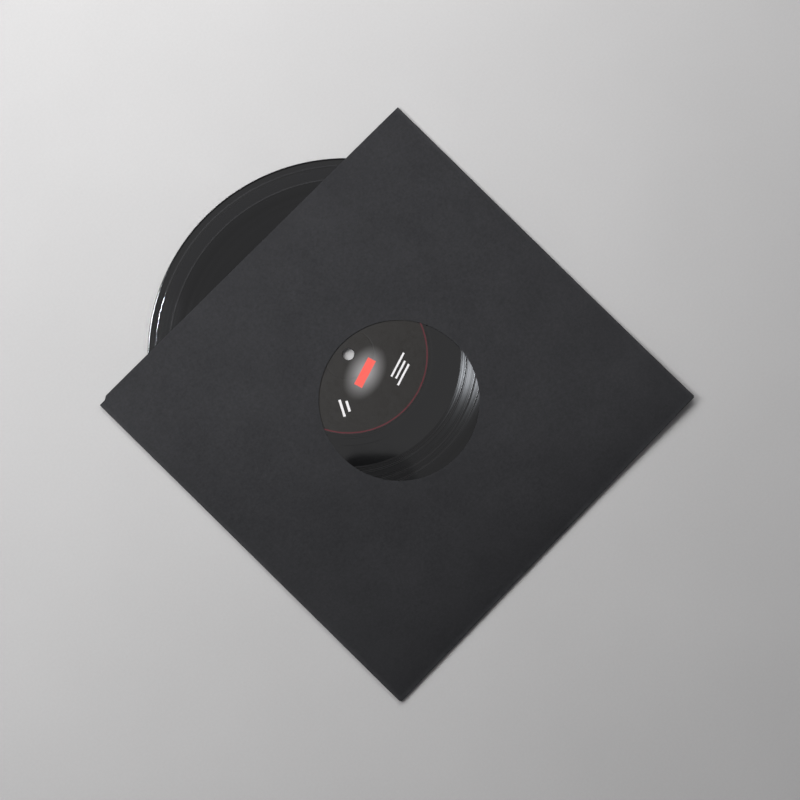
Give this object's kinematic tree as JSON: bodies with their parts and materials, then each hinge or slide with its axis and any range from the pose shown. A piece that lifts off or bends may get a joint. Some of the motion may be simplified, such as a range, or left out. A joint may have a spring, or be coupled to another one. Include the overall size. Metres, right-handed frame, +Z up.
{
  "type": "record sleeve",
  "caption": "Black paper record sleeve with a round centre window, lying flat, with a ten-inch vinyl disc drawn partly out of its open end.",
  "frame": {"origin": "On the floor, under the centre of the whole outline: half-way between the sleeve's closed end and the disc's outermost edge, and half-way across the sleeve.", "axes": "+Z up, away from the floor, with the sleeve's plain front panel on top; +Y out of the sleeve's mouth, the way the disc is drawn; +X across the mouth, to the right as seen from above with the mouth at the top."},
  "size_m": [0.266, 0.2994, 0.0054],
  "materials": {
    "black_paper": "uncoated matte black paper, dyed through",
    "black_vinyl": "pressed glossy vinyl with fine circular grooves",
    "label_paper": "printed label paper, satin, pressed into the vinyl"
  },
  "bodies": {
    "root": {"paper_sleeve": "black_paper", "vinyl_disc": "black_vinyl", "label_side_a": "label_paper", "label_side_b": "label_paper"}
  },
  "joints": []
}
